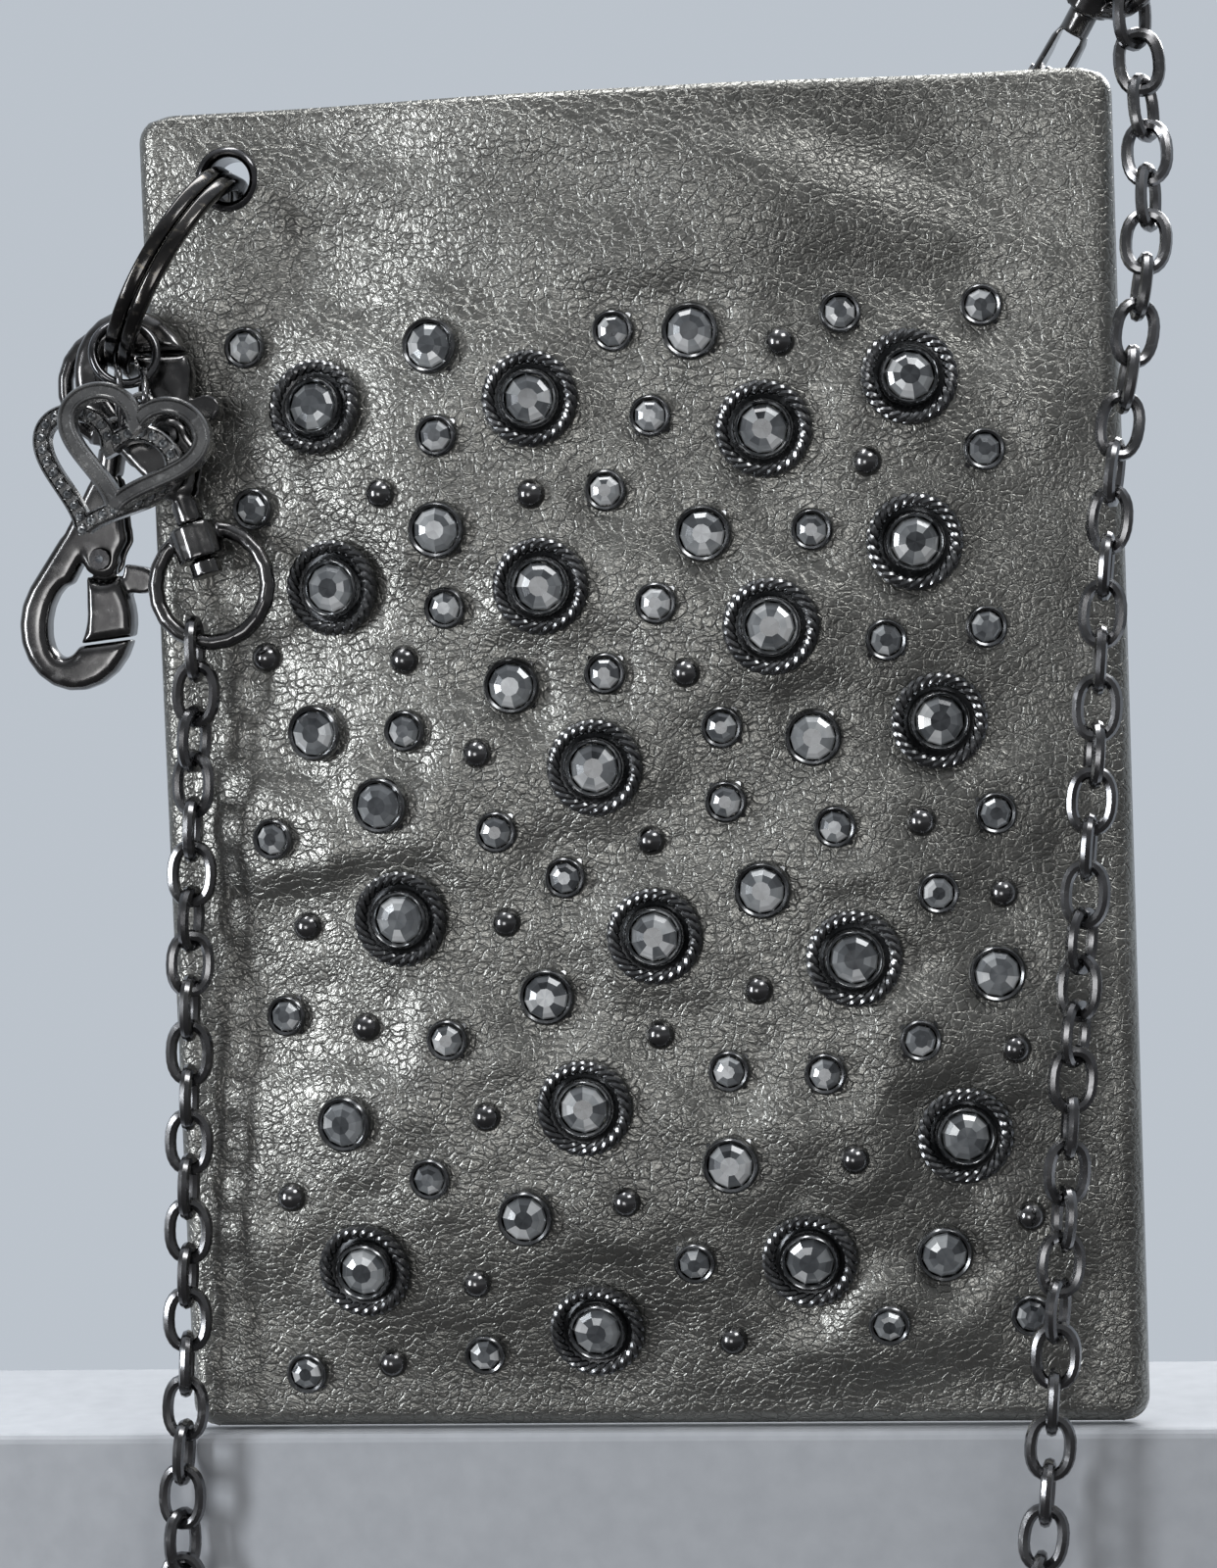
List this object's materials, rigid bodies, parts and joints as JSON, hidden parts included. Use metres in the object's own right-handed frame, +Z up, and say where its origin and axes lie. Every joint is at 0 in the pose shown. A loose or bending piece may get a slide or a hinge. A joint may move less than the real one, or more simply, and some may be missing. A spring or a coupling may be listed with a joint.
{
  "type": "crossbody phone bag",
  "caption": "Flat metallic faux-leather phone pouch covered in set stones and studs, with swivel clasps, heart charms and a chain strap",
  "frame": {"origin": "middle of the pouch's bottom edge, on the flat end of its front panel", "axes": "+X to the right and +Z up as one looks at the stone-set front, which faces -Y"},
  "size_m": [0.1581, 0.0611, 0.3831],
  "materials": {
    "pewter_leather": "metallic pewter faux leather, fine pebble grain, soft sheen",
    "lining_fabric": "plain dark lining",
    "board": "stiffening board and tie",
    "black_nickel": "polished black nickel with sharp highlights",
    "antique_silver": "antique silver, darker in the recesses, with bright rims",
    "spring_steel": "bright steel",
    "set_stone": "foil-backed clear stone in a dark corded setting"
  },
  "bodies": {
    "bag": {"front_leather": "pewter_leather", "back_leather": "pewter_leather", "lining": "lining_fabric", "front_stiffener": "board", "snap_front": "spring_steel", "snap_back": "spring_steel", "eyelet": "black_nickel", "eyelet_washer": "black_nickel", "d_ring_tab": "pewter_leather", "rope_stud_01": "set_stone", "rope_stud_02": "set_stone", "rope_stud_03": "set_stone", "rope_stud_04": "set_stone", "rope_stud_05": "set_stone", "rope_stud_06": "set_stone", "rope_stud_07": "set_stone", "rope_stud_08": "set_stone", "rope_stud_09": "set_stone", "rope_stud_10": "set_stone", "rope_stud_11": "set_stone", "rope_stud_12": "set_stone", "rope_stud_13": "set_stone", "rope_stud_14": "set_stone", "rope_stud_15": "set_stone", "rope_stud_16": "set_stone", "rope_stud_17": "set_stone", "rope_stud_18": "set_stone"},
    "split_ring": {"split_ring": "black_nickel"},
    "strap": {"left_clasp_body": "black_nickel", "left_gate_rivet": "black_nickel", "left_gate_spring": "spring_steel", "left_swivel_pin": "black_nickel", "right_clasp_body": "black_nickel", "right_gate_rivet": "black_nickel", "right_gate_spring": "spring_steel", "right_swivel_pin": "black_nickel", "chain_end_link_left": "black_nickel", "chain_end_link_right": "black_nickel", "chain_left_strand": "black_nickel", "chain_right_strand": "black_nickel", "chain_hank": "black_nickel", "chain_hank_tie": "board"},
    "left_gate": {"left_gate": "black_nickel"},
    "right_gate": {"right_gate": "black_nickel"},
    "left_eye": {"left_eye": "black_nickel"},
    "right_eye": {"right_eye": "black_nickel"},
    "d_ring": {"d_ring": "black_nickel"},
    "key_eye": {"key_eye": "black_nickel"},
    "key_clasp": {"key_clasp_body": "black_nickel", "key_gate_rivet": "black_nickel", "key_gate_spring": "spring_steel", "key_swivel_pin": "black_nickel"},
    "key_gate": {"key_gate": "black_nickel"},
    "charm_ring": {"charm_ring": "black_nickel"},
    "plain_charm": {"plain_heart": "antique_silver", "plain_link": "black_nickel"},
    "pave_charm": {"pave_heart": "antique_silver", "pave_link": "black_nickel"}
  },
  "joints": [
    {"name": "split_ring_turn", "type": "hinge", "parent": "bag", "child": "split_ring", "pos_m": [-0.05995, -0.00202, 0.15688], "axis": [-0.8508, 0, 0.5255], "continuous": true},
    {"name": "strap_swing", "type": "hinge", "parent": "bag", "child": "strap", "pos_m": [-0.06668, -0.00463, 0.1511], "axis": [-0.9818, -0.1356, -0.1329], "range_deg": [0, 6]},
    {"name": "left_gate_open", "type": "hinge", "parent": "strap", "child": "left_gate", "pos_m": [-0.06068, -0.00612, 0.13491], "axis": [0, -0.9958, 0.0911], "range_deg": [0, 1.5], "stiffness_Nm_per_rad": 0.02, "springref_deg": -20.05},
    {"name": "right_gate_open", "type": "hinge", "parent": "strap", "child": "right_gate", "pos_m": [0.05638, 0.01021, 0.17745], "axis": [-0.8443, 0, 0.5358], "range_deg": [0, 5], "stiffness_Nm_per_rad": 0.02, "springref_deg": -20.05},
    {"name": "left_swivel", "type": "hinge", "parent": "strap", "child": "left_eye", "pos_m": [-0.05741, -0.00741, 0.1208], "axis": [-0.2913, 0.0872, 0.9527], "range_deg": [-6, 6]},
    {"name": "right_swivel", "type": "hinge", "parent": "strap", "child": "right_eye", "pos_m": [0.06319, 0.00318, 0.18819], "axis": [-0.4856, 0.4226, -0.7652], "range_deg": [-4, 4]},
    {"name": "d_ring_turn", "type": "hinge", "parent": "bag", "child": "d_ring", "pos_m": [0.04466, 0.0054, 0.15898], "axis": [0.8443, 0, -0.5358], "range_deg": [-1, 1]},
    {"name": "key_swing", "type": "hinge", "parent": "bag", "child": "key_eye", "pos_m": [-0.06715, 0.0027, 0.14522], "axis": [0, 1, 0], "range_deg": [0, 22]},
    {"name": "key_swivel", "type": "hinge", "parent": "key_eye", "child": "key_clasp", "pos_m": [-0.07069, 0.0027, 0.13653], "axis": [-0.1908, 0, -0.9816], "continuous": true},
    {"name": "key_gate_open", "type": "hinge", "parent": "key_clasp", "child": "key_gate", "pos_m": [-0.07305, 0.0027, 0.11916], "axis": [0, 1, 0], "range_deg": [0, 20], "stiffness_Nm_per_rad": 0.02, "springref_deg": -20.05},
    {"name": "charm_swing", "type": "hinge", "parent": "bag", "child": "charm_ring", "pos_m": [-0.06611, -0.01054, 0.1469], "axis": [-1, 0, 0], "range_deg": [0, 8]},
    {"name": "plain_heart_swing", "type": "hinge", "parent": "charm_ring", "child": "plain_charm", "pos_m": [-0.06318, -0.01065, 0.14262], "axis": [0, 1, 0], "range_deg": [-4, 4]},
    {"name": "pave_heart_swing", "type": "hinge", "parent": "charm_ring", "child": "pave_charm", "pos_m": [-0.06612, -0.01189, 0.14221], "axis": [0, 1, 0], "range_deg": [-4, 4]}
  ],
  "couplings": [
    {"joint": "charm_swing", "follows": "strap_swing", "ratio": 1.3}
  ]
}
